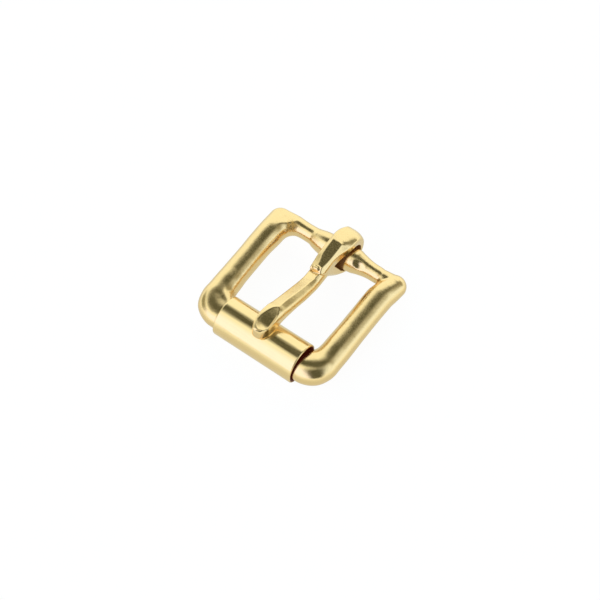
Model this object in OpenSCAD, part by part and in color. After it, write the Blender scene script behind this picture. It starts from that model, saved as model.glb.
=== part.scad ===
// Roller buckle for a narrow strap, lying on a flat surface, in millimetres.
// X runs along the roller, Y from the roller to the heel bar, Z up.
// The origin is the middle of the underside, below the middle of the whole buckle.
// The modules draw from the front bar's axis, and middle() brings each node to the origin.

/* [Strap] */
// Width of the strap that the buckle takes
strap_w = 19; // [18.5:0.25:21]
// Room beside the strap at the roller end, both sides together
strap_play = 0.35; // [0.2:0.05:1]
// How much further each side bar stands out at the heel end
splay = 0.35; // [0:0.05:0.8]

/* [Frame] */
// Diameter of the side bars
bar_d = 4.95; // [4.7:0.05:5.1]
// Distance between the front bar's axis and the heel bar's axis
frame_l = 24.6; // [24:0.1:26]
// Height of both bars' axes above the surface
bar_z = 4; // [4:0.02:4.06]
// Radius of the bends at the roller end, along the bar's axis
front_bend_r = 3.2; // [3:0.05:3.3]
// Diameter of the front bar where it carries the roller
seat_d = 4.4; // [4:0.05:4.44]

/* [Heel bar] */
// Diameter of the heel bar beside the side bars
heel_d = 3.4; // [3:0.05:3.8]
// Diameter of the heel bar where the prong hangs
flare_d = 4.75; // [4.2:0.05:4.78]
// Distance from the prong's middle to where a flare begins
flare_reach = 5.4; // [4.6:0.1:6]
// Distance from the prong's middle to where a flare is full
flare_full = 2.9; // [2.4:0.1:3.4]
// Length of the thick shoulder that each side bar ends in
shoulder_l = 2.6; // [2:0.1:3]
// How much thicker than the side bar the rounded corners are
corner_swell = 0.1; // [0.1:0.05:0.2]

/* [Roller] */
// Outer diameter of the roller
roller_d = 7.9; // [7.88:0.02:7.92]
// Length of the roller
roller_l = 17.2; // [16:0.1:17.3]
// Wall of the roller
roller_wall = 0.55; // [0.45:0.05:0.55]
// How far the loose roller sits from the middle, towards +X
roller_shift = 0.27; // [0:0.03:0.3]
// How far the loose roller's axis sits behind the front bar's axis
roller_back = 1.12; // [1:0.02:1.12]

/* [Prong] */
// How far the prong sits from the middle, towards +X
prong_x = 0.85; // [0.4:0.05:1]
// Width of the loop round the heel bar
loop_w = 3.95; // [3.6:0.05:4.2]
// Outer diameter of the loop
loop_d = 9.5; // [9.4:0.05:9.6]
// Diameter of the hole in the loop
hole_d = 6.4; // [6.38:0.02:6.5]
// Chamfer along the loop's edges
loop_chamfer = 0.95; // [0.4:0.05:1.1]
// Width of the shaft
shaft_w = 3.3; // [3:0.05:3.5]
// Width of the flat along the top of the shaft
ridge_w = 1.1; // [0.6:0.05:1.6]
// Depth of the scoop in the top of the tip
scoop_depth = 0.45; // [0.2:0.05:0.5]

/* [Hidden] */
$fn = 96;

brass = [0.86, 0.70, 0.36];
roller_brass = [0.89, 0.75, 0.43];

// Half widths between the middle and the side bars' axes
front_half = (strap_w + strap_play + bar_d) / 2;
heel_half = front_half + splay;
// The side bars lean outwards by this angle towards the heel
lean = atan2(splay, frame_l);
side_dir = [sin(lean), cos(lean)];
// From the corner of the axis line to where the bend begins
front_cut = front_bend_r * tan((90 - lean) / 2);
flare_x = prong_x - 0.1;
// Each straight bar runs this far into the bend that it meets
bite = 0.2;
seat_half = front_half - front_cut + bite;

// The roller stands on the surface, and the bar lies in the front of its bore
roller_r = roller_d / 2;
bore_d = roller_d - 2 * roller_wall;

// The loop stands on the surface, and the heel bar lies low in its hole
loop_r = loop_d / 2;
hole_r = hole_d / 2;
loop_y = frame_l - 0.15;
loop_z = loop_r;
// The loop runs forward in a wedge: the slopes of its top and its underside
top_slope = 11.3;
under_slope = 48;
wedge_y = 16.9;
wedge_under = 5.25;
// The hole ends in a point in front of the bar
hole_tip = [loop_y - 4.15, loop_z + 1.45];

// Halfway between the roller's front and the loop's back
mid_y = (roller_back - roller_r + loop_y + loop_r) / 2;

// Sections of the shaft, from the tip to the neck.
// Columns: y, height of the flat top, of the eave and of the underside, share of the full width
SHAFT = [
    [-1.25, 10.70, 10.20, 8.45, 0.50],
    [-0.95, 11.00, 10.40, 8.10, 0.68],
    [-0.30, 11.20, 10.55, 8.00, 0.84],
    [ 1.10, 11.40, 10.65, 8.00, 0.95],
    [ 2.80, 11.35, 10.60, 8.00, 1.00],
    [ 4.60, 10.95, 10.20, 8.05, 1.00],
    [ 6.20, 10.50,  9.75, 7.90, 1.00],
    [ 7.70, 10.05,  9.30, 7.60, 1.00],
    [ 9.20,  9.50,  8.78, 7.20, 1.00],
    [10.60,  8.98,  8.25, 6.72, 1.00],
    [12.20,  8.35,  7.65, 6.20, 1.00],
    [13.90,  7.78,  7.10, 5.72, 1.00],
    [15.00,  7.50,  6.85, 5.42, 1.00],
    [16.00,  7.40,  6.75, 5.20, 1.00],
    [17.00,  7.45,  6.80, 5.05, 1.02],
    [18.40,  7.60,  6.90, 5.00, 1.04]];

// Bottom edges of the shaft are broken by this much
under_break = 0.3;

module middle() {
    translate([0, -mid_y, 0]) children();
}

// One bar's round section swept along an arc in the XY plane, from +X round to the angle
module bend(axis_r, d, turn) {
    rotate_extrude(angle = turn)
        translate([axis_r, 0]) circle(d = d);
}

// A straight round bar between two points of the XY plane
module bar(from, to, d) {
    reach = to - from;
    translate([from[0], from[1], 0])
        rotate([0, 90, atan2(reach[1], reach[0])])
            cylinder(d = d, h = norm(reach));
}

// One side bar with its bend at the roller end and its shoulder at the heel end
module side() {
    corner = [heel_half, frame_l];
    bar([front_half, 0] + (front_cut - bite) * side_dir, corner, bar_d);
    translate([front_half - front_cut, front_bend_r, 0])
        rotate([0, 0, -90]) bend(front_bend_r, bar_d + corner_swell, 90 - lean);
    translate([corner[0], corner[1], 0]) sphere(d = bar_d + corner_swell);
    bar([heel_half - shoulder_l, frame_l], corner, bar_d - corner_swell);
}

// The heel bar: thin beside the side bars, with a flare on each side of the prong
module heel_bar() {
    bar([-heel_half, frame_l], [heel_half, frame_l], heel_d);
    translate([flare_x, frame_l, 0]) {
        bar([-flare_full, 0], [flare_full, 0], flare_d);
        for (turn = [-90, 90])
            rotate([0, turn, 0])
                translate([0, 0, flare_full])
                    cylinder(d1 = flare_d, d2 = heel_d, h = flare_reach - flare_full);
    }
}

module frame() {
    color(brass)
        middle()
            translate([0, 0, bar_z]) {
                side();
                mirror([1, 0, 0]) side();
                bar([-seat_half, 0], [seat_half, 0], seat_d);
                heel_bar();
            }
}

module roller() {
    color(roller_brass)
        middle()
            translate([roller_shift, roller_back, roller_r])
                rotate([0, 90, 0])
                    difference() {
                        cylinder(d = roller_d, h = roller_l, center = true);
                        cylinder(d = bore_d, h = roller_l + 2, center = true);
                    }
}

// Stands a side view, drawn as [y, z], up along the X axis with the given width
module across(w) {
    translate([-w / 2, 0, 0])
        rotate([90, 0, 90]) linear_extrude(w) children();
}

// A point of a circle in the side view
function rim(c, r, a) = c + r * [cos(a), sin(a)];

// The round of the loop: a disc with both edges chamfered
module loop_disc() {
    half = loop_w / 2;
    translate([0, loop_y, loop_z])
        rotate([0, 90, 0])
            rotate_extrude()
                polygon([
                    [0, -half],
                    [loop_r - loop_chamfer, -half],
                    [loop_r, -half + loop_chamfer],
                    [loop_r, half - loop_chamfer],
                    [loop_r - loop_chamfer, half],
                    [0, half]]);
}

// The wedge from the loop forward to the neck, with its top edges chamfered
module loop_wedge() {
    centre = [loop_y, loop_z];
    top = rim(centre, loop_r, 90 + top_slope);
    under = rim(centre, loop_r, 270 - under_slope);
    wedge_top = top[1] - (top[0] - wedge_y) * tan(top_slope);
    under_y = under[0] - (wedge_under - under[1]) / tan(under_slope);
    half = loop_w / 2;
    intersection() {
        across(loop_w)
            polygon([[wedge_y, wedge_top], top, centre, under, [under_y, wedge_under], [wedge_y, wedge_under]]);
        translate([0, top[0], top[1]])
            rotate([90 + top_slope, 0, 0])
                linear_extrude(2 * loop_d, center = true)
                    polygon([
                        [-half, -2 * loop_d],
                        [-half, -loop_chamfer],
                        [-half + loop_chamfer, 0],
                        [half - loop_chamfer, 0],
                        [half, -loop_chamfer],
                        [half, -2 * loop_d]]);
    }
}

// The hole for the heel bar, round at the back and pointed at the front
module loop_hole() {
    centre = [loop_y, loop_z];
    reach = hole_tip - centre;
    aim = atan2(reach[1], reach[0]);
    spread = acos(hole_r / norm(reach));
    translate([0, loop_y, loop_z])
        rotate([0, 90, 0]) cylinder(r = hole_r, h = 2 * loop_w, center = true);
    across(2 * loop_w)
        polygon([hole_tip, rim(centre, hole_r, aim + spread), centre, rim(centre, hole_r, aim - spread)]);
}

// One ring of the shaft: eight points round a section
function ring(row) =
    let (y = row[0], top = row[1], eave = row[2], under = row[3])
    let (half = shaft_w / 2 * row[4], flat = ridge_w / 2 * row[4])
    [[-flat, y, top], [flat, y, top], [half, y, eave], [half, y, under + under_break],
     [half - under_break, y, under], [under_break - half, y, under],
     [-half, y, under + under_break], [-half, y, eave]];

// The shaft and the tip, lofted through the table of sections
module shaft() {
    rings = len(SHAFT);
    per = len(ring(SHAFT[0]));
    points = [for (row = SHAFT) each ring(row)];
    walls = [for (i = [0 : rings - 2], k = [0 : per - 1])
        let (a = i * per + k, b = i * per + (k + 1) % per)
        each [[a, a + per, b], [b, a + per, b + per]]];
    ends = [for (k = [1 : per - 2])
        each [[0, k, k + 1], (rings - 1) * per * [1, 1, 1] + [0, k + 1, k]]];
    polyhedron(points, concat(walls, ends), convexity = 4);
}

// The dished scoop in the top of the tip: the underside of a lying ring
module scoop() {
    across_r = 2.2;
    along_r = 9;
    middle_y = 1.7;
    dish_z = 11.35 - scoop_depth;
    translate([0, middle_y, dish_z + along_r])
        rotate([0, 90, 0])
            rotate_extrude()
                translate([along_r - across_r, 0]) circle(r = across_r);
}

module prong() {
    color(brass)
        middle()
            translate([prong_x, 0, 0])
                difference() {
                    union() {
                        loop_disc();
                        loop_wedge();
                        shaft();
                    }
                    loop_hole();
                    scoop();
                }
}

frame();
roller();
prong();
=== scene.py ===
import math

import bpy
import numpy as np
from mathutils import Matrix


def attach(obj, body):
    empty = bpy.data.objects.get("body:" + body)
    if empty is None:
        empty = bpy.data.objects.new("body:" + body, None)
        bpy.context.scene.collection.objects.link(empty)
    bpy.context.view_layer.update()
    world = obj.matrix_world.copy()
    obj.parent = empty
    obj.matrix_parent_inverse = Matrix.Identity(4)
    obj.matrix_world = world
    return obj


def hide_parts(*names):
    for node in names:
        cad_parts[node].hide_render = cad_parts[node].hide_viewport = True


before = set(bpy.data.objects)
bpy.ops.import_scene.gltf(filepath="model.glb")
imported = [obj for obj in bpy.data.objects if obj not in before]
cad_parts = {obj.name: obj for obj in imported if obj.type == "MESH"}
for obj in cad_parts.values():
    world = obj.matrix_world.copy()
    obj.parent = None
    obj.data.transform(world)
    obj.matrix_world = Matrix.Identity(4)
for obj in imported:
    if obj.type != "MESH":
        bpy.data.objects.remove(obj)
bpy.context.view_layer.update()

# Shapes are worked out in millimetres, with Y running from the roller's bar to the heel bar.
# MID_Y is the Y that becomes the part's origin
MM = 0.001
MID_Y = 13.185

# Frame: height of the bars' axes, Y of the front bar's axis, and the X from which that axis leans
# towards the bends
BAR_Z = 4.0
SEAT_Y = 0.25
SEAT_END = 4.0
# Both sides are given as if they stood at +X:
# bend and bend_r are the centre and the radius of the bend in the bar's axis
# web is how far the web fills the inside of the bend, and web_flat its width over its height
# web_top and web_rise are the height above the axis and the slope in degrees of the plane over the web
# front rows: length along the axis from the middle through the bend, half width, half width over half height
# bar rows: Y, X of the side bar's axis, radius
RIGHT = dict(
    bend=(9.40, 3.45),
    bend_r=2.90,
    web=4.2,
    web_flat=1.12,
    web_top=2.90,
    web_rise=0.0,
    front=[(7.6, 2.20, 1.0), (9.2, 2.55, 1.0), (11.6, 2.74, 1.02)],
    bar=[
        (3.45, 12.30, 2.50), (7.0, 12.28, 2.58), (9.4, 12.30, 2.54), (12.0, 12.32, 2.49),
        (16.0, 12.34, 2.49), (20.4, 12.40, 2.53), (22.4, 12.79, 2.40), (24.3, 13.26, 2.15)])
LEFT = dict(
    bend=(9.55, 3.60),
    bend_r=2.70,
    web=3.8,
    web_flat=1.08,
    web_top=2.36,
    web_rise=5.0,
    front=[(7.4, 2.20, 1.0), (8.9, 2.95, 1.20), (11.4, 2.98, 1.19)],
    bar=[
        (3.60, 12.25, 2.42), (7.0, 12.22, 2.50), (9.4, 12.32, 2.42), (14.0, 12.42, 2.40),
        (17.0, 12.50, 2.45), (20.6, 12.42, 2.58), (22.4, 12.50, 2.47), (24.1, 12.78, 2.17)])
# Y at which the plane over the webs has the height web_top
WEB_PIVOT_Y = 2.0
# Heel bar rows: X, Y of its axis, radius
HEEL = [
    (-12.7, 24.32, 2.10), (-10.8, 24.60, 2.02), (-9.6, 24.70, 1.95), (-8.3, 24.78, 1.76),
    (-7.1, 24.80, 1.69), (-5.5, 24.78, 1.73), (-4.6, 24.68, 1.94), (-2.9, 24.64, 2.32),
    (-1.9, 24.62, 2.42), (3.6, 24.62, 2.42), (4.4, 24.68, 2.38), (5.1, 24.68, 2.18),
    (6.6, 24.68, 1.83), (7.4, 24.68, 1.70), (8.2, 24.66, 1.64), (9.5, 24.64, 1.62),
    (10.05, 24.62, 1.57), (10.6, 24.58, 1.66), (11.6, 24.56, 1.75), (13.1, 24.26, 2.12)]
# Left of start_x the heel bar gets lower than it is wide: by this share, over this length
HEEL_FLAT = dict(start_x=-8.6, length=2.4, share=0.12)
# Fillets in the window's corners: X of the outer corner, least radius, what the left and the right corner
# add to it, the distance from the outer corner at which that starts, and its length
FILLET = dict(corner_x=12.8, least=0.15, left=2.1, right=0.3, start=1.2, length=3.0)
# A low rod that fills the right corner up to the heel bar: its two ends and its radius
CORNER_ROD = ((11.75, 20.5, 0.0), (11.55, 24.7, 0.0), 1.52)
# The left corner's top falls away behind an edge: Y of the edge, its height above the bar's axis and
# the slope in degrees. Right of end_x the plane lifts clear of the metal, by lift over this length
CORNER_FALL = dict(y=23.0, z=2.33, slope=16.0, end_x=-9.8, length=1.2, lift=2.0)
# Shallow dents: centre of a ball and its radius
DENTS = [(6.20, 22.52, 6.73, 1.75)]
# How softly the frame's forms meet, as the width of each blend
FRAME_SOFT = dict(web_cap=0.3, web=0.5, rod=0.35, fall=0.3, dent=0.25)

# Roller: its middle, outer radius, bore radius and length, and how softly its edges are broken
ROLLER = dict(x=0.27, y=1.12, z=3.95, radius=3.95, bore=3.4, length=17.2, bore_soft=0.05, end_soft=0.22)

# Prong. From the side its loop is a circle with a wedge running forward, whose two faces slope in degrees
LOOP_Y, LOOP_Z, LOOP_R = 24.5, 4.80, 4.80
TOP_SLOPE, UNDER_SLOPE = 11.3, 48.0
# The hole is a circle that draws out to a tip, whose place is given from the circle's centre
HOLE_Y, HOLE_Z, HOLE_R = 24.70, 4.25, 2.85
HOLE_TIP = (-4.2, 1.85)
# How softly the hole's sides meet in the tip, end at the circle, and flow into it
HOLE_SOFT = dict(tip=0.25, neck=0.05, circle=0.15)
# Loop rows: Y, X of its left side, of the dark facet's left and right edges, of its right side,
# and the slopes of the left and the right shoulder in degrees
LOOP = [
    (16.5, -0.62, 0.70, 1.30, 2.30, 20, 50), (18.0, -0.78, 0.50, 1.60, 2.38, 22, 50),
    (20.0, -0.92, -0.05, 1.86, 2.46, 28, 47), (21.8, -0.95, -0.15, 1.92, 2.74, 36, 42),
    (23.4, -0.92, -0.12, 1.90, 3.22, 44, 36), (24.8, -0.92, -0.12, 1.78, 3.50, 45, 32),
    (26.4, -0.92, -0.05, 2.15, 3.54, 45, 30), (29.2, -0.92, 0.05, 2.45, 3.56, 45, 29)]
LOOP_FRONT_Y = 16.6
# Behind an edge the loop's top falls away: Y and Z of the edge and slope in degrees
REAR = dict(y=23.35, z=9.45, slope=8.0)
# The rear edge and the ridge over the right shoulder get softer towards the back: the blend's least width,
# what it gains, the Y where that starts and its length
REAR_SOFT = dict(least=0.08, gain=0.9, start=23.6, length=1.8)
RIDGE_SOFT = dict(least=0.10, gain=0.40, start=23.0, length=0.8)
# The loop's front end is broken by a small facet: a point of it and the way that it faces
NOTCH = (0.75, 17.35, 8.12)
NOTCH_FACES = (-0.10, -0.62, 0.78)
# A bead stands on that facet, and a gash lies below the rim of the scoop: both ends and the radius
BEAD = ((0.25, 17.10, 7.70), (0.85, 17.10, 7.80), 0.42)
GASH = ((0.20, -1.16, 10.40), (1.20, -0.55, 10.36), 0.15)
# Shaft rows: Y, X of its left side, of the ridge and of its right side, height of the ridge,
# slope of the left facet in degrees, height of the underside
SHAFT = [
    (-1.20, -0.05, 0.25, 0.55, 10.42, 12, 8.20), (-0.80, -0.48, 0.55, 1.15, 10.66, 12, 7.95),
    (0.00, -0.93, 1.05, 1.72, 10.88, 12, 7.80), (1.00, -1.22, 1.42, 2.10, 10.99, 12, 7.75),
    (2.60, -1.38, 1.36, 2.28, 11.06, 13, 7.80), (4.40, -1.24, 0.98, 2.40, 11.04, 18, 7.90),
    (6.00, -1.08, 0.95, 2.50, 10.58, 24, 7.78), (8.20, -0.95, 1.07, 2.62, 9.88, 26, 7.40),
    (11.00, -0.88, 1.23, 2.72, 8.84, 26, 6.55), (14.00, -0.80, 1.33, 2.68, 7.80, 26, 5.68),
    (15.60, -0.78, 1.50, 2.58, 7.46, 24, 5.30), (18.40, -0.80, 1.70, 2.42, 7.50, 22, 5.00)]
RIGHT_SLOPE = 28.0
SHAFT_BACK_Y = 18.5
# The tip leans: from the height top down, over this depth, its outline moves forward by share of the way,
# in front of the Y reach. end_y is the Y of the tip's end, and end_share what the lean adds there
TIP = dict(top=10.6, depth=3.0, reach=2.5, share=0.16, end_y=-1.15, end_share=0.3)
# The scoop in the tip is a lopsided bowl: its lowest point, how fast it rises to the left and right and
# to the tip and the back, the power of the rise to the back, its twist, and the Y where it ends
SCOOP = dict(
    x=1.60, y=1.00, z=10.08, left=0.098, right=2.2, tip=0.13, back=0.112, back_power=1.5,
    twist=0.04, end_y=5.2)
# Shares that turn height over the bowl into distance from it, on its gentle left and its steep right side
SCOOP_SCALE = dict(left=0.9, right=0.45)
# How softly the prong's forms meet
LOOP_SOFT = dict(
    wedge=0.25, left_shoulder=0.12, right=0.30, left=0.25, notch=0.10, front=0.3, bead=0.22, hole=0.32)
SHAFT_SOFT = dict(ridge=0.12, right=1.1, left=0.3, under=0.6, tip=0.4, back=0.2, scoop=0.07, gash=0.06)
PRONG_SOFT = dict(join=0.18, hole=0.2)

# Places that another part covers, where tarnish and painted shade are laid, each with the length over which
# it
# fades out: the front bar below the roller, and the heel bar inside the loop
UNDER_ROLLER = dict(back_y=8.0, half=8.5, fade=0.5)
IN_LOOP = dict(front_y=20.0, x=1.2, half=2.6, fade=0.9)
# The roller's inside from this depth on, and the loop's inside up to this distance from the hole
IN_ROLLER = dict(depth=0.12, fade=0.2)
IN_HOLE = dict(reach=0.30, fade=0.25)

# Meshing: the two corners of each piece's grid, and the grid's step
FRAME_BOX = ((-16.5, -3.5, 0.8), (16.5, 29.0, 7.2))
ROLLER_BOX = ((-9.0, -3.5, -0.4), (9.5, 5.6, 8.4))
PRONG_BOX = ((-1.8, -2.2, -0.5), (4.2, 30.0, 11.9))
FRAME_STEP = 0.16
ROLLER_STEP = 0.16
PRONG_STEP = 0.085
# Vertices move onto the surface this many times. The slope is taken over PROBE of a step, and a move is
# at most LONGEST_MOVE of a step
MOVES = 3
PROBE = 0.15
LONGEST_MOVE = 0.5
# These keep divisions away from zero
LEAST_SLOPE = 1e-6
LEAST_MOVE = 1e-12
# Hollows are felt this far from the surface, at these shares of the way
CREVICE_REACH = 0.9
CREVICE_SHARES = (0.35, 0.7, 1.0)

# Brass: colours (the last of them the dark brown that is painted into the deepest hollows as shade, and that
# also tints their painted bounce glow), roughness, scale and stretch and depth of the grain, scale and depth
# of the soft dents.
# Scales are per metre and depths in metres
CAST_BRASS = dict(
    color=(0.93, 0.67, 0.315), tarnish=(0.62, 0.37, 0.10), painted_shade=(0.13, 0.052, 0.012), roughness=0.17,
    grain=5200, grain_stretch=(1, 1, 1), grain_depth=0.000009, wave=700, wave_depth=0.000017)
DRAWN_BRASS = dict(
    color=(0.94, 0.69, 0.33), tarnish=(0.50, 0.22, 0.07), painted_shade=(0.070, 0.008, 0.003), roughness=0.15,
    grain=3200, grain_stretch=(0.06, 1, 1), grain_depth=0.000007, wave=500, wave_depth=0.000003)
# Spots of painted shade on the cast brass, amber and pitted, in the frame's corners and junctions and at the
# prong's tip: place, radius and strength. A spot is at full strength inside the core share, given below, of
# its radius
SHADE_SPOTS = [
    ((-9.5, 23.3, 5.6), 1.6, 0.72), ((-4.6, 23.6, 5.6), 0.8, 0.35), ((10.0, 23.9, 5.5), 0.6, 0.4),
    ((1.7, -0.9, 9.1), 1.0, 0.6), ((-9.7, 4.7, 5.0), 1.7, 0.5)]
SHADE_SPOT_CORE = 0.3
# The amber painted into the spots of shade, and the depth of their pits
SHADE_SPOT_COLOR = (0.95, 0.56, 0.14)
PIT_DEPTH = 0.00002
# Noise scales of the clouds and the specks, and the detail of the noises
CLOUD_SCALE = 420
SPECK_SCALE = 1500
FINE_DETAIL = 3
WAVE_DETAIL = 2
# Ranges from which and to which the noises and masks are mapped
CLOUD_TO_SHADE = (0.35, 0.7, 0.0, 0.35)
CLOUD_TO_TARNISH = (0.3, 0.7, -0.12, 0.12)
CLOUD_TO_PAINTED_SHADE = (0.3, 0.7, -0.08, 0.08)
SPECK_TO_SHADE_SPOT = (0.36, 0.62, 0.35, 1.0)
TARNISH_EDGE = (0.30, 0.75, 0.0, 1.0)
PAINTED_SHADE_EDGE = (0.62, 0.92, 0.0, 1.0)
GRAIN_RANGE = (0.3, 0.7)
# The darker tone of the clean metal, over the lighter one
SHADE = 0.94
# Where shade is painted into the deepest hollows they glow faintly with painted bounce light, and lose this
# share of the metallic look
PAINTED_BOUNCE_GLOW = 0.35
PAINTED_SHADE_DULL = 0.7
# What the grain takes from and adds to the roughness, and what tarnish and the painted shade of the deepest
# hollows add
GRAIN_SMOOTHER, GRAIN_ROUGHER = 0.05, 0.10
TARNISH_ROUGHER = 0.14
PAINTED_SHADE_ROUGHER = 0.25

# Studio: a white surround with black and grey cards, each placed by its angles from straight up
SURROUND = (1.12, 1.24, 1.24)
# Cards: centre and half size in degrees (X and Y), turn, softness of the edge, light
CARDS = [
    ((-10, -68), (62, 34), 0, 0.45, (1.25, 1.36, 1.85)),
    ((64, 14), (34, 36), 0, 0.45, (1.05, 1.24, 1.45)),
    ((34, 45), (24, 20), 0, 0.45, (0.34, 0.35, 0.28)),
    ((-94, -18), (38, 31), 0, 0.42, (0.30, 0.32, 0.23)),
    ((50, -38), (50, 33), -37, 0.35, (0.10, 0.11, 0.08)),
    ((-6, 13), (38, 21), 15, 0.38, (0.10, 0.11, 0.08))]
# The cards' corners are round: 2 would make an ellipse, and a high number a rectangle
CARD_POWER = 3.0
# Keeps the division by the ray's distance from straight up away from zero
LEAST_FLAT = 0.001
# Floor: its size, the base grey and the glow of the plane that the camera sees
FLOOR_SIZE = 4.0
FLOOR_BASE = 0.10
FLOOR_GLOW = 0.94
# The mirrored floor's light near the buckle and far from it, darker near the buckle as a painted shadow, the
# distances between which it changes, and how far it lies below the other one
FLOOR_NEAR, FLOOR_FAR = (0.72, 0.76, 0.73), (1.02, 1.12, 1.12)
FLOOR_FADE = (0.018, 0.055)
FLOOR_DROP = 0.0001
# Camera: its angles in degrees, distance, target, half width of the view over the distance, and shift
CAMERA_AZ, CAMERA_EL = 36.03, 59.31
CAMERA_FAR = 0.2202
LOOK_AT = (0.0, -0.00368, 0.004)
HALF_VIEW = 0.25
CAMERA_SHIFT = (0.01765, 0.01028)
CLIP_START = 0.01


# Helpers for shapes given by a signed distance, which is negative inside
def smin(a, b, k):
    """Both shapes together, blended over the width k."""
    h = np.clip(0.5 + 0.5 * (b - a) / k, 0.0, 1.0)
    return b + (a - b) * h - k * h * (1.0 - h)


def smax(a, b, k):
    """What two shapes have in common, blended over the width k."""
    return -smin(-a, -b, k)


def ease(t):
    """Smooth step from 0 at 0 to 1 at 1."""
    t = np.clip(t, 0.0, 1.0)
    return t * t * (3.0 - 2.0 * t)


def column(rows, i):
    return [row[i] for row in rows]


def spline(s, knots, values):
    """Monotone cubic curve through the values."""
    knots = np.asarray(knots, float)
    values = np.asarray(values, float)
    steps = np.diff(knots)
    rise = np.diff(values) / steps
    slope = np.zeros(len(knots))
    slope[0] = rise[0]
    slope[-1] = rise[-1]
    for i in range(1, len(knots) - 1):
        if rise[i - 1] * rise[i] > 0:
            w0 = 2 * steps[i] + steps[i - 1]
            w1 = steps[i] + 2 * steps[i - 1]
            slope[i] = (w0 + w1) / (w0 / rise[i - 1] + w1 / rise[i])
    s = np.clip(s, knots[0], knots[-1])
    k = np.clip(np.searchsorted(knots, s, side="right") - 1, 0, len(steps) - 1)
    h = steps[k]
    t = (s - knots[k]) / h
    a, b = values[k], values[k + 1]
    m, n = slope[k] * h, slope[k + 1] * h
    start = ((2 * t - 3) * t * t + 1) * a + ((t - 2) * t + 1) * t * m
    return start + (3 - 2 * t) * t * t * b + (t - 1) * t * t * n


def tilted(across, up, degrees):
    """Distance to a plane through the origin of the two coordinates, falling at the given slope."""
    angle = np.radians(degrees)
    return across * np.sin(angle) + up * np.cos(angle)


def rod(x, y, z, a, b, radius):
    """Distance to a straight rod with round ends."""
    ux, uy, uz = [end - start for start, end in zip(a, b)]
    dx, dy, dz = x - a[0], y - a[1], z - a[2]
    share = np.clip((dx * ux + dy * uy + dz * uz) / (ux * ux + uy * uy + uz * uz), 0.0, 1.0)
    return np.sqrt((dx - share * ux) ** 2 + (dy - share * uy) ** 2 + (dz - share * uz) ** 2) - radius


def softness(y, soft):
    """Width of a blend that grows towards the back."""
    return soft["least"] + soft["gain"] * ease((y - soft["start"]) / soft["length"])


# Shapes
def bar_distance(x, y, z, side):
    """Distance to one half of the front bar, its bend and its side bar."""
    cx, cy = side["bend"]
    turn = side["bend_r"]
    arc = turn * math.pi / 2
    rows = side["bar"]
    lengths = column(side["front"], 0) + [cx + arc + row[0] - cy for row in rows]
    widths = column(side["front"], 1) + column(rows, 2)
    flats = column(side["front"], 2) + [1.0] * len(rows)
    along = np.clip(x, 0.0, cx)
    axis_y = SEAT_Y + (cy - turn - SEAT_Y) * ease((along - SEAT_END) / (cx - SEAT_END))
    angle = np.clip(np.arctan2(y - cy, x - cx), -math.pi / 2, 0.0)
    level = np.clip(y, rows[0][0], rows[-1][0])
    axis_x = spline(level, column(rows, 0), column(rows, 1))
    # Nearest places on the front bar, the bend and the side bar: length along the axis, X, Y
    places = [
        (along, along, axis_y),
        (cx + turn * (angle + math.pi / 2), cx + turn * np.cos(angle), cy + turn * np.sin(angle)),
        (cx + arc + level - cy, axis_x, level)]
    solid = []
    low = []
    for length, px, py in places:
        flat = (x - px) ** 2 + (y - py) ** 2
        width = spline(length, lengths, widths)
        solid.append(np.sqrt(flat + (z * spline(length, lengths, flats)) ** 2) - width)
        low.append(np.sqrt(flat + (z * side["web_flat"]) ** 2) - width)
    # A web fills the inside of the bend
    cap = tilted(y - WEB_PIVOT_Y, z - side["web_top"], -side["web_rise"])
    web = smax(smin(low[0], low[2], side["web"]), cap, FRAME_SOFT["web_cap"])
    return smin(np.minimum(np.minimum(solid[0], solid[1]), solid[2]), web, FRAME_SOFT["web"])


def frame_sdf(x, y, z):
    z = z - BAR_Z
    sides = np.where(x < 0, bar_distance(-x, y, z, LEFT), bar_distance(x, y, z, RIGHT))
    along = np.clip(x, HEEL[0][0], HEEL[-1][0])
    axis_y = spline(along, column(HEEL, 0), column(HEEL, 1))
    flat = 1.0 + HEEL_FLAT["share"] * ease((HEEL_FLAT["start_x"] - along) / HEEL_FLAT["length"])
    heel = np.sqrt((x - along) ** 2 + (y - axis_y) ** 2 + (z * flat) ** 2)
    heel = heel - spline(along, column(HEEL, 0), column(HEEL, 2))
    # The fillet lies in the window's corner alone: wide on the left, narrow on the right
    inward = (axis_y - y) + (FILLET["corner_x"] - np.abs(x))
    widest = np.where(x < 0, FILLET["left"], FILLET["right"])
    fillet = FILLET["least"] + ease((inward - FILLET["start"]) / FILLET["length"]) * widest
    sides = smin(sides, rod(x, y, z, *CORNER_ROD), FRAME_SOFT["rod"])
    body = smin(sides, heel, fillet)
    fall = tilted(y - CORNER_FALL["y"], z - CORNER_FALL["z"], CORNER_FALL["slope"])
    fall = fall - CORNER_FALL["lift"] * ease((x - CORNER_FALL["end_x"]) / CORNER_FALL["length"])
    body = smax(body, fall, FRAME_SOFT["fall"])
    for dx, dy, dz, radius in DENTS:
        ball = np.sqrt((x - dx) ** 2 + (y - dy) ** 2 + (z + BAR_Z - dz) ** 2) - radius
        body = smax(body, -ball, FRAME_SOFT["dent"])
    return body


def roller_sdf(x, y, z):
    along = np.abs(x - ROLLER["x"])
    out = np.hypot(y - ROLLER["y"], z - ROLLER["z"])
    wall = smax(out - ROLLER["radius"], ROLLER["bore"] - out, ROLLER["bore_soft"])
    return smax(wall, along - ROLLER["length"] / 2, ROLLER["end_soft"])


def loop_outer(y, z):
    """The loop from the side: a circle with a tangent wedge running forward."""
    dy, dz = y - LOOP_Y, z - LOOP_Z
    circle = np.hypot(dy, dz) - LOOP_R
    a = math.radians(90 + TOP_SLOPE)
    b = math.radians(270 - UNDER_SLOPE)
    top = dy * math.cos(a) + dz * math.sin(a) - LOOP_R
    low = dy * math.cos(b) + dz * math.sin(b) - LOOP_R
    facing = np.arctan2(dz, -dy)
    front = (facing < math.pi - a) & (facing > math.pi - b)
    return np.where(front, smax(top, low, LOOP_SOFT["wedge"]), circle)


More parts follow.
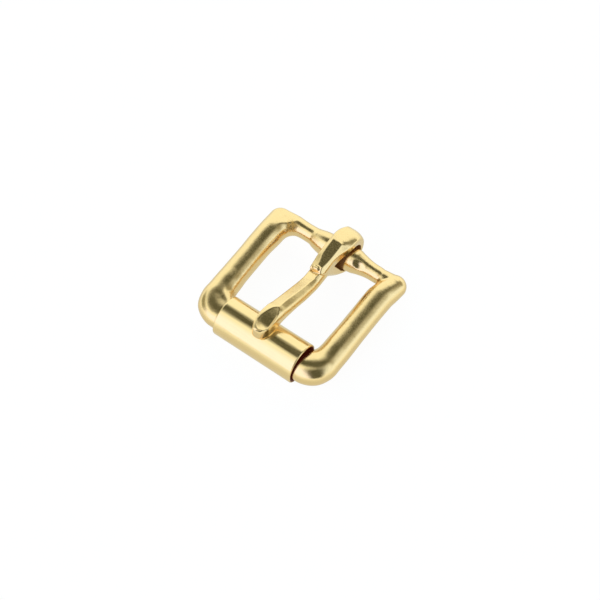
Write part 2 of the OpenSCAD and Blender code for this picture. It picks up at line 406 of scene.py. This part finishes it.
def loop_hole(y, z):
    """The hole from the side: a circle that draws out to a tip."""
    dy, dz = y - HOLE_Y, z - HOLE_Z
    reach = math.hypot(*HOLE_TIP)
    aim = math.atan2(HOLE_TIP[1], HOLE_TIP[0])
    spread = math.acos(HOLE_R / reach)
    sides = [dy * math.cos(aim + turn) + dz * math.sin(aim + turn) - HOLE_R for turn in (spread, -spread)]
    along = (dy * HOLE_TIP[0] + dz * HOLE_TIP[1]) / reach
    point = smax(sides[0], sides[1], HOLE_SOFT["tip"])
    point = smax(point, HOLE_R ** 2 / reach - along, HOLE_SOFT["neck"])
    return smin(np.hypot(dy, dz) - HOLE_R, point, HOLE_SOFT["circle"])


def loop_sdf(x, y, z):
    left, facet_left, facet_right, right, left_slope, right_slope = [
        spline(y, column(LOOP, 0), column(LOOP, i)) for i in range(1, 7)]
    outer = loop_outer(y, z)
    body = smax(outer, tilted(y - REAR["y"], z - REAR["z"], REAR["slope"]), softness(y, REAR_SOFT))
    body = smax(body, tilted(x - facet_right, outer, right_slope), softness(y, RIDGE_SOFT))
    body = smax(body, tilted(facet_left - x, outer, left_slope), LOOP_SOFT["left_shoulder"])
    body = smax(body, x - right, LOOP_SOFT["right"])
    body = smax(body, left - x, LOOP_SOFT["left"])
    notch = sum((c - at) * n for c, at, n in zip((x, y, z), NOTCH, NOTCH_FACES))
    body = smax(body, notch, LOOP_SOFT["notch"])
    body = smax(body, LOOP_FRONT_Y - y, LOOP_SOFT["front"])
    body = smin(body, rod(x, y, z, *BEAD), LOOP_SOFT["bead"])
    return smax(body, -loop_hole(y, z), LOOP_SOFT["hole"])


def scoop(x, y, z):
    """Distance to the bowl in the tip, positive in the air above it."""
    across, along = x - SCOOP["x"], y - SCOOP["y"]
    bowl = SCOOP["z"] + np.where(across < 0, SCOOP["left"], SCOOP["right"]) * across ** 2
    back = SCOOP["back"] * np.abs(along) ** SCOOP["back_power"]
    bowl = bowl + np.where(along < 0, SCOOP["tip"] * along ** 2, back)
    bowl = bowl + SCOOP["twist"] * across * along
    over = (z - bowl) * np.where(across < 0, SCOOP_SCALE["left"], SCOOP_SCALE["right"])
    return np.minimum(over, SCOOP["end_y"] - y)


def shaft_sdf(x, y, z):
    lean = TIP["share"] * np.clip(TIP["top"] - z, 0.0, TIP["depth"])
    lean = lean * ease((TIP["reach"] - y) / TIP["reach"])
    left, ridge, right, top, slope, under = [
        spline(y + lean, column(SHAFT, 0), column(SHAFT, i)) for i in range(1, 7)]
    right_facet = tilted(x - ridge, z - top, RIGHT_SLOPE)
    body = smax(tilted(ridge - x, z - top, slope), right_facet, SHAFT_SOFT["ridge"])
    body = smax(body, x - right, SHAFT_SOFT["right"])
    body = smax(body, left - x, SHAFT_SOFT["left"])
    body = smax(body, under - z, SHAFT_SOFT["under"])
    body = smax(body, TIP["end_y"] - TIP["end_share"] * lean - y, SHAFT_SOFT["tip"])
    body = smax(body, y - SHAFT_BACK_Y, SHAFT_SOFT["back"])
    body = smax(body, scoop(x, y, z), SHAFT_SOFT["scoop"])
    return smax(body, -rod(x, y, z, *GASH), SHAFT_SOFT["gash"])


def prong_sdf(x, y, z):
    both = smin(loop_sdf(x, y, z), shaft_sdf(x, y, z), PRONG_SOFT["join"])
    return smax(both, -loop_hole(y, z), PRONG_SOFT["hole"])


# How far a point lies in a covered place, where tarnish and painted shade are laid, from 0 to 1
def frame_tarnish_and_shade(x, y, z):
    under_roller = ease((UNDER_ROLLER["half"] - np.abs(x - ROLLER["x"])) / UNDER_ROLLER["fade"])
    in_loop = ease((IN_LOOP["half"] - np.abs(x - IN_LOOP["x"])) / IN_LOOP["fade"])
    return np.maximum((y < UNDER_ROLLER["back_y"]) * under_roller, (y > IN_LOOP["front_y"]) * in_loop)


def roller_tarnish_and_shade(x, y, z):
    out = np.hypot(y - ROLLER["y"], z - ROLLER["z"])
    return ease((ROLLER["radius"] - IN_ROLLER["depth"] - out) / IN_ROLLER["fade"])


def prong_tarnish_and_shade(x, y, z):
    return ease((IN_HOLE["reach"] - loop_hole(y, z)) / IN_HOLE["fade"])


# Meshing
def slope_of(sdf, p, e):
    """The distance at the points p and its gradient, from differences over e."""
    x, y, z = p.T
    value = sdf(x, y, z)
    grad = np.stack([
        sdf(x + e, y, z) - sdf(x - e, y, z),
        sdf(x, y + e, z) - sdf(x, y - e, z),
        sdf(x, y, z + e) - sdf(x, y, z - e)], 1) / (2 * e)
    return value, grad


def surface(sdf, lo, hi, step):
    """Vertices, quads and normals of the zero surface of sdf: surface nets, then moved onto the surface."""
    axes = [np.arange(a, b + step, step, dtype=np.float64) for a, b in zip(lo, hi)]
    f = sdf(axes[0][:, None, None], axes[1][None, :, None], axes[2][None, None, :])
    shape = np.array(f.shape)
    inside = f < 0
    total = np.zeros(tuple(shape - 1) + (3,))
    count = np.zeros(tuple(shape - 1))
    quads = []
    for axis in range(3):
        a = [slice(None)] * 3
        b = [slice(None)] * 3
        a[axis] = slice(0, -1)
        b[axis] = slice(1, None)
        # Grid edges that cross the surface, and the points where they cross it
        cut = inside[tuple(a)] != inside[tuple(b)]
        idx = np.argwhere(cut)
        va = f[tuple(a)][cut]
        vb = f[tuple(b)][cut]
        point = idx.astype(float)
        point[:, axis] += va / (va - vb)
        u, v = (axis + 1) % 3, (axis + 2) % 3
        # The four cells round each such edge make a quad, and each takes the mean of its points
        ring = []
        for du, dv in ((-1, -1), (0, -1), (0, 0), (-1, 0)):
            cell = idx.copy()
            cell[:, u] += du
            cell[:, v] += dv
            ring.append(cell)
            np.add.at(total, tuple(cell.T), point)
            np.add.at(count, tuple(cell.T), 1)
        ring = np.stack(ring, 1)
        flip = va > 0
        ring[flip] = ring[flip][:, ::-1]
        quads.append(ring)
    used = count > 0
    number = np.full(count.shape, -1)
    number[used] = np.arange(used.sum())
    verts = total[used] / count[used][:, None]
    verts = verts * step + np.array([ax[0] for ax in axes])
    quads = np.concatenate(quads)
    quads = number[quads[..., 0], quads[..., 1], quads[..., 2]]
    for _ in range(MOVES):
        value, grad = slope_of(sdf, verts, step * PROBE)
        size = np.sum(grad * grad, 1)
        move = -(value / np.maximum(size, LEAST_SLOPE))[:, None] * grad
        far = np.linalg.norm(move, axis=1)
        move *= np.minimum(1.0, LONGEST_MOVE * step / np.maximum(far, LEAST_MOVE))[:, None]
        verts = verts + move
    value, grad = slope_of(sdf, verts, step * PROBE)
    normals = grad / np.linalg.norm(grad, axis=1)[:, None]
    return verts, quads, normals


def crevice(sdf, verts, normals, reach):
    """How hollow the surface is at each vertex, from 0 on open metal to 1 deep in a corner."""
    total = np.zeros(len(verts))
    for share in CREVICE_SHARES:
        x, y, z = (verts + normals * reach * share).T
        total += np.clip(1.0 - sdf(x, y, z) / (reach * share), 0.0, 1.0)
    return total / len(CREVICE_SHARES)


def piece(name, body, sdf, tarnish_and_shade, box, step, material):
    """Mesh one solid and put it in its node's place."""
    verts, quads, normals = surface(sdf, *box, step)
    # Hollow vertices, and those in covered places, get tarnish and painted shade
    hollow = np.maximum(crevice(sdf, verts, normals, CREVICE_REACH), tarnish_and_shade(*verts.T))
    verts[:, 1] -= MID_Y
    mesh = bpy.data.meshes.new(name)
    mesh.vertices.add(len(verts))
    mesh.vertices.foreach_set("co", (verts * MM).astype(np.float32).ravel())
    mesh.loops.add(quads.size)
    mesh.loops.foreach_set("vertex_index", quads.astype(np.int32).ravel())
    mesh.polygons.add(len(quads))
    mesh.polygons.foreach_set("loop_start", np.arange(0, quads.size, 4, dtype=np.int32))
    mesh.polygons.foreach_set("loop_total", np.full(len(quads), 4, dtype=np.int32))
    mesh.update(calc_edges=True)
    mesh.validate()
    mesh.shade_smooth()
    mesh.attributes.new("crevice", "FLOAT", "POINT").data.foreach_set("value", hollow.astype(np.float32))
    mesh.materials.append(material)
    obj = bpy.data.objects.new(name, mesh)
    bpy.context.collection.objects.link(obj)
    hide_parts(body)
    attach(obj, body)


# Node helpers
def new_node(tree, kind, **values):
    node = tree.nodes.new(kind)
    for key, value in values.items():
        setattr(node, key, value)
    return node


def feed(tree, socket, value):
    """Give a socket a number or link it to another socket."""
    if isinstance(value, bpy.types.NodeSocket):
        tree.links.new(value, socket)
    else:
        socket.default_value = value


def maths(tree, operation, *values):
    node = new_node(tree, "ShaderNodeMath", operation=operation)
    for socket, value in zip(node.inputs, values):
        feed(tree, socket, value)
    return node.outputs[0]


def mapped(tree, value, from_min, from_max, to_min, to_max):
    """The value carried smoothly from one range to another, and held at its ends."""
    node = new_node(tree, "ShaderNodeMapRange", interpolation_type="SMOOTHSTEP")
    for key, number in (("Value", value), ("From Min", from_min), ("From Max", from_max),
                        ("To Min", to_min), ("To Max", to_max)):
        feed(tree, node.inputs[key], number)
    return node.outputs["Result"]


def mixed(tree, share, a, b):
    """Colour a where share is 0 and colour b where it is 1."""
    node = new_node(tree, "ShaderNodeMix", data_type="RGBA")
    feed(tree, node.inputs["Factor"], share)
    feed(tree, node.inputs[6], a)
    feed(tree, node.inputs[7], b)
    return node.outputs[2]


def noise(tree, vector, scale, detail, stretch=(1, 1, 1)):
    place = new_node(tree, "ShaderNodeMapping")
    tree.links.new(vector, place.inputs["Vector"])
    place.inputs["Scale"].default_value = stretch
    node = new_node(tree, "ShaderNodeTexNoise")
    tree.links.new(place.outputs[0], node.inputs["Vector"])
    node.inputs["Scale"].default_value = scale
    node.inputs["Detail"].default_value = detail
    return node.outputs["Fac"]


def shade_spots_at(tree, place, shade_spots):
    """How strongly a point lies in one of the spots of painted shade."""
    total = 0.0
    for spot, radius, strength in shade_spots:
        apart = new_node(tree, "ShaderNodeVectorMath", operation="DISTANCE")
        tree.links.new(place, apart.inputs[0])
        apart.inputs[1].default_value = (spot[0] * MM, (spot[1] - MID_Y) * MM, spot[2] * MM)
        share = mapped(tree, apart.outputs["Value"], SHADE_SPOT_CORE * radius * MM, radius * MM, strength, 0.0)
        total = maths(tree, "ADD", share, total)
    return total


def brass(name, color, tarnish, painted_shade, roughness, grain, grain_stretch, grain_depth,
          wave, wave_depth, shade_spots=()):
    """Polished brass: a fine grain, soft dents, amber tarnish in the hollows, dark brown painted shade with
    a faint painted bounce glow in the deepest hollows, and amber spots of painted shade with pits.
    """
    mat = bpy.data.materials.new(name)
    mat.use_nodes = True
    tree = mat.node_tree
    shader = tree.nodes["Principled BSDF"]
    place = new_node(tree, "ShaderNodeTexCoord").outputs["Object"]
    hollow = new_node(tree, "ShaderNodeAttribute", attribute_name="crevice").outputs["Fac"]
    cloud = noise(tree, place, CLOUD_SCALE, FINE_DETAIL)
    fine = noise(tree, place, grain, FINE_DETAIL, grain_stretch)
    broad = noise(tree, place, wave, WAVE_DETAIL)
    speck = noise(tree, place, SPECK_SCALE, FINE_DETAIL)
    # The spots of painted shade are speckled, and tarnish keeps to them and to the hollows, with a ragged
    # edge
    spot_shade = maths(tree, "MULTIPLY", shade_spots_at(tree, place, shade_spots), mapped(tree, speck, *SPECK_TO_SHADE_SPOT))
    ragged = maths(tree, "ADD", maths(tree, "ADD", hollow, spot_shade), mapped(tree, cloud, *CLOUD_TO_TARNISH))
    deep = mapped(tree, ragged, *TARNISH_EDGE)
    # In the deepest hollows shade is painted in dark brown, with a faint painted glow of bounced light
    ragged = maths(tree, "ADD", hollow, mapped(tree, cloud, *CLOUD_TO_PAINTED_SHADE))
    painted_shade_mask = mapped(tree, ragged, *PAINTED_SHADE_EDGE)
    shaded = [c * SHADE for c in color]
    tone = mixed(tree, mapped(tree, cloud, *CLOUD_TO_SHADE), (*color, 1), (*shaded, 1))
    tone = mixed(tree, deep, tone, (*tarnish, 1))
    tone = mixed(tree, spot_shade, tone, (*SHADE_SPOT_COLOR, 1))
    tone = mixed(tree, painted_shade_mask, tone, (*painted_shade, 1))
    tree.links.new(tone, shader.inputs["Base Color"])
    dull = maths(tree, "MAXIMUM", maths(tree, "MULTIPLY", painted_shade_mask, PAINTED_SHADE_DULL), spot_shade)
    tree.links.new(maths(tree, "SUBTRACT", 1.0, dull), shader.inputs["Metallic"])
    # Painted bounce light: the painted shade of the deepest hollows glows faintly in its own dark brown
    painted_bounce_glow = mixed(tree, painted_shade_mask, (0, 0, 0, 1), (*painted_shade, 1))
    tree.links.new(painted_bounce_glow, shader.inputs["Emission Color"])
    shader.inputs["Emission Strength"].default_value = PAINTED_BOUNCE_GLOW
    rough = mapped(tree, fine, *GRAIN_RANGE, roughness - GRAIN_SMOOTHER, roughness + GRAIN_ROUGHER)
    tarnish_and_shade_roughness = maths(tree, "ADD", maths(tree, "MULTIPLY", deep, TARNISH_ROUGHER),
                 maths(tree, "MULTIPLY", painted_shade_mask, PAINTED_SHADE_ROUGHER))
    tree.links.new(maths(tree, "ADD", rough, tarnish_and_shade_roughness), shader.inputs["Roughness"])
    relief = maths(tree, "ADD", maths(tree, "MULTIPLY", fine, grain_depth),
                   maths(tree, "MULTIPLY", broad, wave_depth))
    relief = maths(tree, "ADD", relief, maths(tree, "MULTIPLY", spot_shade, PIT_DEPTH))
    bump = new_node(tree, "ShaderNodeBump")
    bump.inputs["Strength"].default_value = 1.0
    bump.inputs["Distance"].default_value = 1.0
    tree.links.new(relief, bump.inputs["Height"])
    tree.links.new(bump.outputs[0], shader.inputs["Normal"])
    return mat


def card_distance(tree, mx, my, centre, half, turn):
    """How far a direction lies from a card's centre: 1 on the card's edge."""
    c = math.cos(math.radians(turn))
    s = math.sin(math.radians(turn))
    ux = maths(tree, "SUBTRACT", mx, centre[0])
    uy = maths(tree, "SUBTRACT", my, centre[1])
    along = maths(tree, "ADD", maths(tree, "MULTIPLY", ux, c / half[0]),
                  maths(tree, "MULTIPLY", uy, s / half[0]))
    across = maths(tree, "ADD", maths(tree, "MULTIPLY", ux, -s / half[1]),
                   maths(tree, "MULTIPLY", uy, c / half[1]))
    powers = [maths(tree, "POWER", maths(tree, "ABSOLUTE", side), CARD_POWER) for side in (along, across)]
    return maths(tree, "POWER", maths(tree, "ADD", *powers), 1 / CARD_POWER)


def studio_world():
    world = bpy.data.worlds.new("studio")
    bpy.context.scene.world = world
    world.use_nodes = True
    tree = world.node_tree
    ray = new_node(tree, "ShaderNodeTexCoord").outputs["Generated"]
    split = new_node(tree, "ShaderNodeSeparateXYZ")
    tree.links.new(ray, split.inputs[0])
    dx, dy, dz = split.outputs
    # The ray's angle from straight up, split into degrees along X and along Y
    flat = maths(tree, "ADD", maths(tree, "MULTIPLY", dx, dx), maths(tree, "MULTIPLY", dy, dy))
    flat = maths(tree, "MAXIMUM", maths(tree, "SQRT", flat), LEAST_FLAT)
    angle = maths(tree, "DEGREES", maths(tree, "ARCCOSINE", dz))
    spread = maths(tree, "DIVIDE", angle, flat)
    mx = maths(tree, "MULTIPLY", dx, spread)
    my = maths(tree, "MULTIPLY", dy, spread)
    color = (*SURROUND, 1)
    for centre, half, turn, soft, light in CARDS:
        far = card_distance(tree, mx, my, centre, half, turn)
        color = mixed(tree, mapped(tree, far, 1 - soft, 1 + soft, 1.0, 0.0), color, (*light, 1))
    # Behind the object the camera sees plain white
    seen = new_node(tree, "ShaderNodeLightPath").outputs["Is Camera Ray"]
    tree.links.new(mixed(tree, seen, color, (1, 1, 1, 1)), tree.nodes["Background"].inputs["Color"])


def floor_plane(name, material):
    bpy.ops.mesh.primitive_plane_add(size=FLOOR_SIZE, location=(0, 0, 0))
    plane = bpy.context.object
    plane.name = name
    plane.data.materials.append(material)
    return plane


def studio_floor():
    """A white floor for the eye, and a grey one in the same place for the metal to mirror."""
    white = bpy.data.materials.new("floor_white")
    white.use_nodes = True
    shader = white.node_tree.nodes["Principled BSDF"]
    shader.inputs["Base Color"].default_value = (FLOOR_BASE, FLOOR_BASE, FLOOR_BASE, 1)
    shader.inputs["Roughness"].default_value = 1.0
    shader.inputs["Specular IOR Level"].default_value = 0.0
    shader.inputs["Emission Color"].default_value = (1, 1, 1, 1)
    shader.inputs["Emission Strength"].default_value = FLOOR_GLOW
    seen = floor_plane("floor", white)
    seen.visible_glossy = False
    grey = bpy.data.materials.new("floor_grey")
    grey.use_nodes = True
    tree = grey.node_tree
    shader = tree.nodes["Principled BSDF"]
    shader.inputs["Base Color"].default_value = (0, 0, 0, 1)
    shader.inputs["Specular IOR Level"].default_value = 0.0
    place = new_node(tree, "ShaderNodeTexCoord").outputs["Object"]
    far = new_node(tree, "ShaderNodeVectorMath", operation="LENGTH")
    tree.links.new(place, far.inputs[0])
    # The mirrored floor darkens towards the buckle: a painted shadow
    share = mapped(tree, far.outputs["Value"], *FLOOR_FADE, 0.0, 1.0)
    light = mixed(tree, share, (*FLOOR_NEAR, 1), (*FLOOR_FAR, 1))
    tree.links.new(light, shader.inputs["Emission Color"])
    shader.inputs["Emission Strength"].default_value = 1.0
    mirrored = floor_plane("floor_mirrored", grey)
    mirrored.location.z = -FLOOR_DROP
    mirrored.visible_camera = False
    mirrored.visible_diffuse = False
    mirrored.visible_shadow = False


def camera():
    """The photograph's view: its angles, its distance and its small shift."""
    az = math.radians(CAMERA_AZ)
    el = math.radians(CAMERA_EL)
    back = (math.sin(az) * math.cos(el), -math.cos(az) * math.cos(el), math.sin(el))
    data = bpy.data.cameras.new("camera")
    obj = bpy.data.objects.new("camera", data)
    bpy.context.collection.objects.link(obj)
    obj.location = [LOOK_AT[i] + CAMERA_FAR * back[i] for i in range(3)]
    obj.rotation_euler = (math.radians(90) - el, 0, az)
    data.sensor_fit = "HORIZONTAL"
    data.angle = 2 * math.atan(HALF_VIEW)
    data.shift_x, data.shift_y = CAMERA_SHIFT
    data.clip_start = CLIP_START
    bpy.context.scene.camera = obj


cast = brass("cast_brass", **CAST_BRASS, shade_spots=SHADE_SPOTS)
drawn = brass("roller_brass", **DRAWN_BRASS)
piece("buckle_frame", "frame", frame_sdf, frame_tarnish_and_shade, FRAME_BOX, FRAME_STEP, cast)
piece("roller_tube", "roller", roller_sdf, roller_tarnish_and_shade, ROLLER_BOX, ROLLER_STEP, drawn)
piece("buckle_prong", "prong", prong_sdf, prong_tarnish_and_shade, PRONG_BOX, PRONG_STEP, cast)
studio_floor()
studio_world()
camera()
bpy.context.scene.view_settings.view_transform = "Standard"
